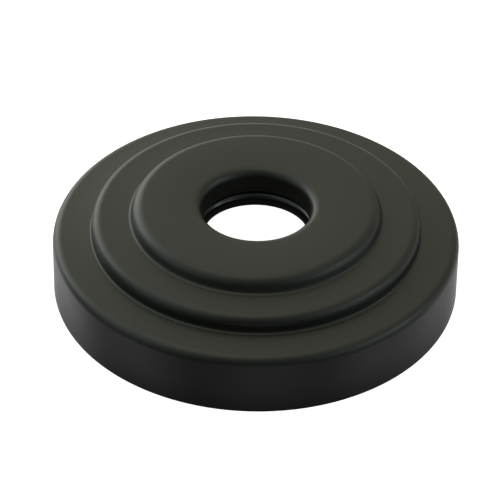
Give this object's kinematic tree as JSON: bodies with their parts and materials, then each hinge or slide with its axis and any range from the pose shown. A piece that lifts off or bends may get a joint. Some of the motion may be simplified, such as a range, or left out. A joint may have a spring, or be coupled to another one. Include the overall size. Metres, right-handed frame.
{
  "type": "escutcheon plate",
  "caption": "Round stepped escutcheon plate, hollow underneath, with a rubber grip ring inside its centre collar to hold it on a pipe.",
  "frame": {"origin": "centre of the plate's base plane, on the bore's axis, where the plate meets the wall", "axes": "+Z along the bore's axis, out of the wall towards the room; X and Y lie in the base plane and are equal"},
  "size_m": [0.08, 0.08, 0.0193],
  "materials": {
    "black_paint": "satin black coating",
    "black_rubber": "smooth moulded rubber"
  },
  "bodies": {
    "root": {"plate": "black_paint", "grip_ring": "black_rubber"}
  },
  "joints": []
}
